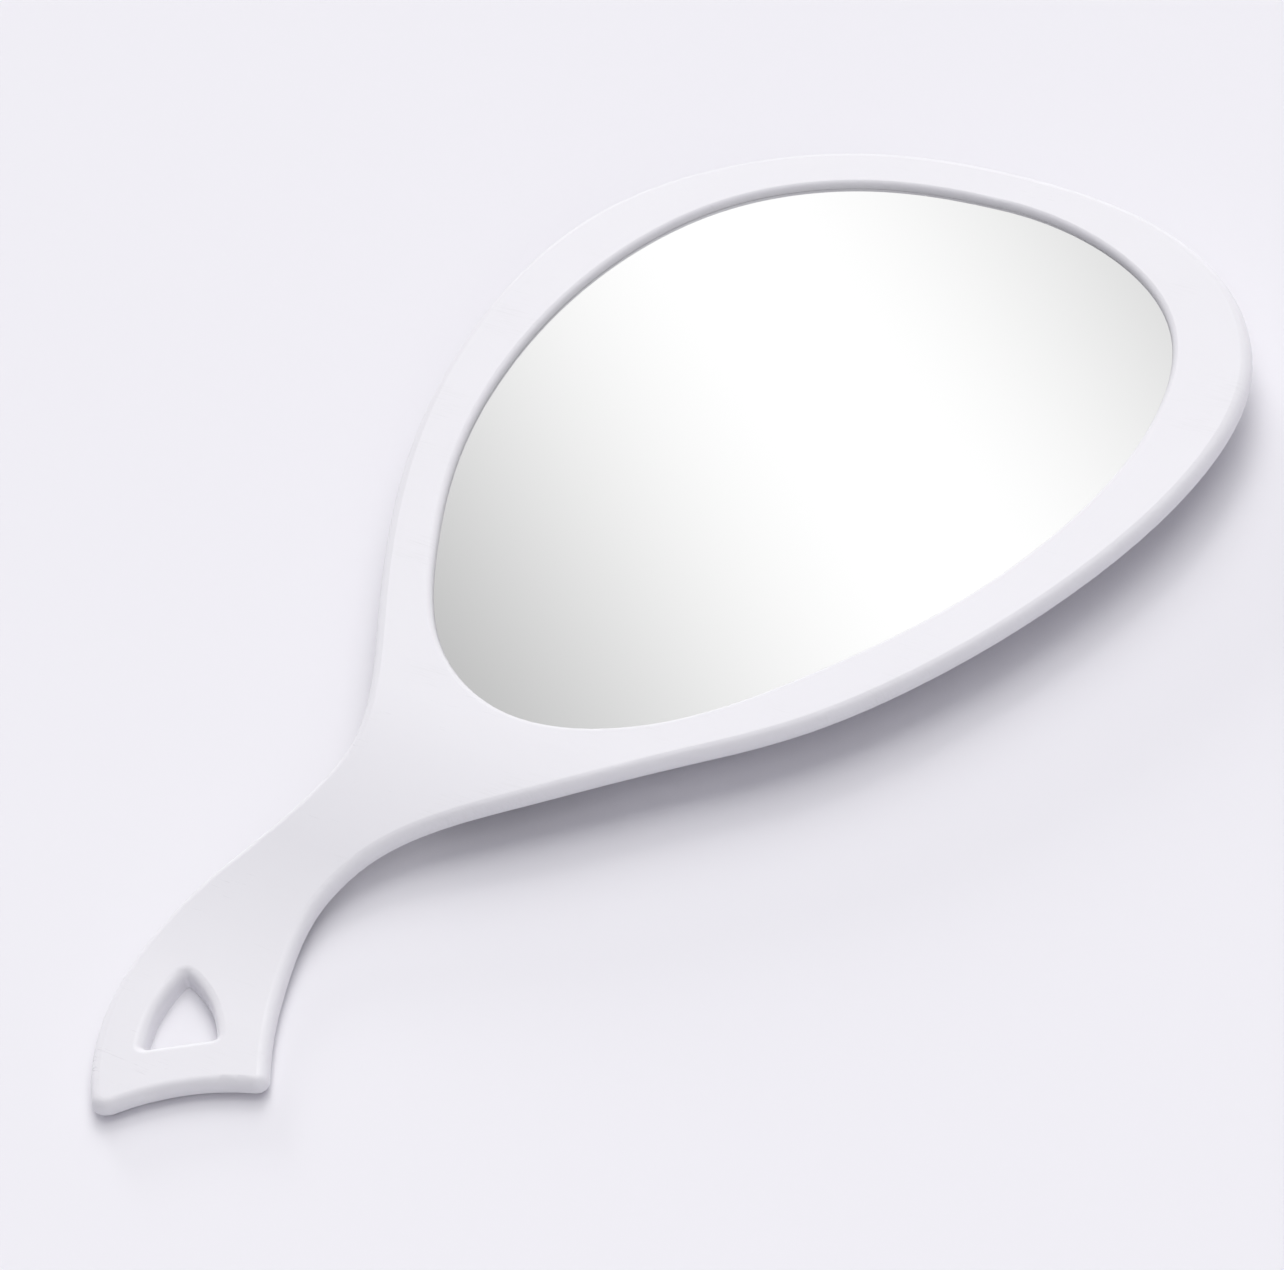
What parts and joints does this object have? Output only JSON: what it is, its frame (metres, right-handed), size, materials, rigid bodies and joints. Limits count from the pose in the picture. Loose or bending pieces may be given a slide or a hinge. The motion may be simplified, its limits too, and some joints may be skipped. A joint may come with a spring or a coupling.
{
  "type": "hand mirror",
  "caption": "Salon hand mirror with an egg-shaped recessed glass, a flat white bezel and a swept handle that ends in a fishtail with a pointed hanging hole.",
  "frame": {"origin": "under the middle of the whole mirror, on the surface that its back rests on", "axes": "+Y along the mirror from the handle's end to the head, +Z out of the glass, +X to the right of someone who looks at the glass with the handle towards them"},
  "size_m": [0.1642, 0.2894, 0.0115],
  "materials": {
    "front_plastic": "satin white moulded plastic",
    "back_plastic": "satin white moulded plastic",
    "clear_glass": "clear float glass with a ground edge",
    "silvering": "bright silver, seen through the glass",
    "backing_paint": "matt grey protective paint",
    "foam_tape": "closed-cell foam"
  },
  "bodies": {
    "root": {"front_frame": "front_plastic", "back_shell": "back_plastic", "glass_pane": "clear_glass", "silver_layer": "silvering", "backing_paint": "backing_paint", "foam_tape_1": "foam_tape", "foam_tape_2": "foam_tape", "foam_tape_3": "foam_tape", "foam_tape_4": "foam_tape"}
  },
  "joints": []
}
